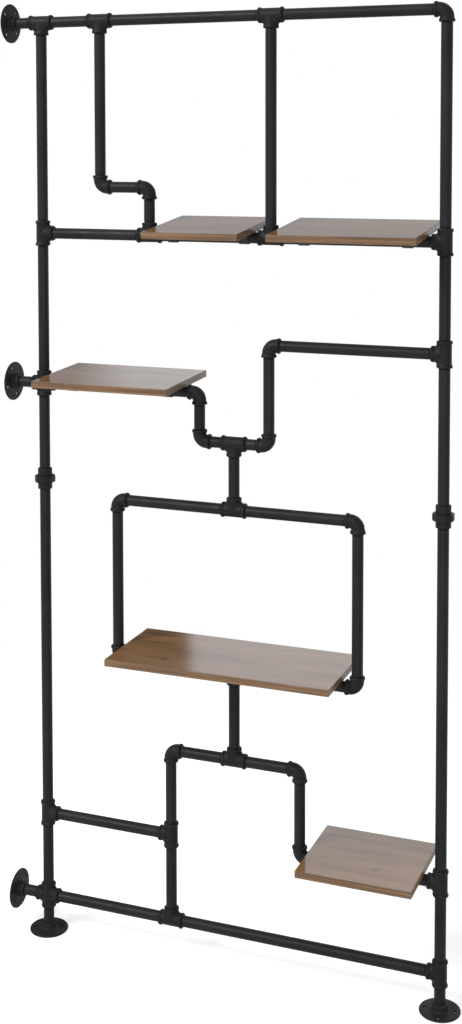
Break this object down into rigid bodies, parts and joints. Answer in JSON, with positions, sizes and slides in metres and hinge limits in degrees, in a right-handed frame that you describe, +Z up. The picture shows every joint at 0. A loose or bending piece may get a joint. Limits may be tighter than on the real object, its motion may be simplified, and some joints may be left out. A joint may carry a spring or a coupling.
{
  "type": "pipe shelving unit",
  "caption": "Tall open shelving unit of half-inch black pipe and threaded fittings, wall and floor flanges, with wood-look boards strapped on its stepped rails",
  "frame": {"origin": "centre of the left floor flange's underside, on the floor under the left post's axis", "axes": "+X along the frame away from the wall, +Y to the back, +Z up"},
  "size_m": [0.9205, 0.202, 1.876],
  "materials": {
    "black_pipe": "satin black powder coat on steel pipe",
    "black_fitting": "satin black coat over malleable castings",
    "black_flange": "satin black coat over castings",
    "oak_board": "satin oak-look laminate on fibreboard, edge banded",
    "black_strap": "satin black sheet-steel strap",
    "black_screw": "black oxide pan-head screw"
  },
  "bodies": {
    "root": {"wall_nipples": "black_pipe", "floor_nipples": "black_pipe", "left_post_lower_pipes": "black_pipe", "left_post_upper_pipes": "black_pipe", "right_post_lower_pipes": "black_pipe", "right_post_upper_pipes": "black_pipe", "top_rail_pipes": "black_pipe", "hook_pipes": "black_pipe", "middle_post_pipe": "black_pipe", "upper_shelf_rail_pipes": "black_pipe", "side_shelf_rail_pipe": "black_pipe", "link_drop_pipe": "black_pipe", "link_nipples": "black_pipe", "link_rise_pipe": "black_pipe", "step_rail_pipe": "black_pipe", "loop_hanger_pipe": "black_pipe", "loop_top_pipes": "black_pipe", "loop_side_pipes": "black_pipe", "centre_shelf_rail_pipes": "black_pipe", "centre_drop_pipe": "black_pipe", "lower_link_pipes": "black_pipe", "lower_post_pipes": "black_pipe", "low_shelf_drop_pipe": "black_pipe", "low_rail_pipes": "black_pipe", "bottom_rail_pipes": "black_pipe", "top_post_tee": "black_fitting", "top_rail_tees": "black_fitting", "top_corner_elbow": "black_fitting", "hook_elbows": "black_fitting", "left_post_tees": "black_fitting", "shelf_rail_tees": "black_fitting", "right_upper_tees": "black_fitting", "right_lower_tees": "black_fitting", "middle_cross": "black_fitting", "bottom_cross": "black_fitting", "left_link_elbows": "black_fitting", "right_link_elbows": "black_fitting", "link_tees": "black_fitting", "loop_top_elbows": "black_fitting", "loop_bottom_elbows": "black_fitting", "centre_tees": "black_fitting", "lower_link_elbows": "black_fitting", "low_shelf_elbow": "black_fitting", "lower_post_tees": "black_fitting", "union_bases": "black_fitting", "union_tails": "black_fitting", "union_nuts": "black_fitting", "top_wall_flange": "black_flange", "middle_wall_flange": "black_flange", "bottom_wall_flange": "black_flange", "left_floor_flange": "black_flange", "right_floor_flange": "black_flange", "upper_left_shelf": "oak_board", "upper_right_shelf": "oak_board", "side_shelf": "oak_board", "centre_shelf": "oak_board", "low_shelf": "oak_board", "pipe_straps": "black_strap", "strap_screws": "black_screw"}
  },
  "joints": []
}
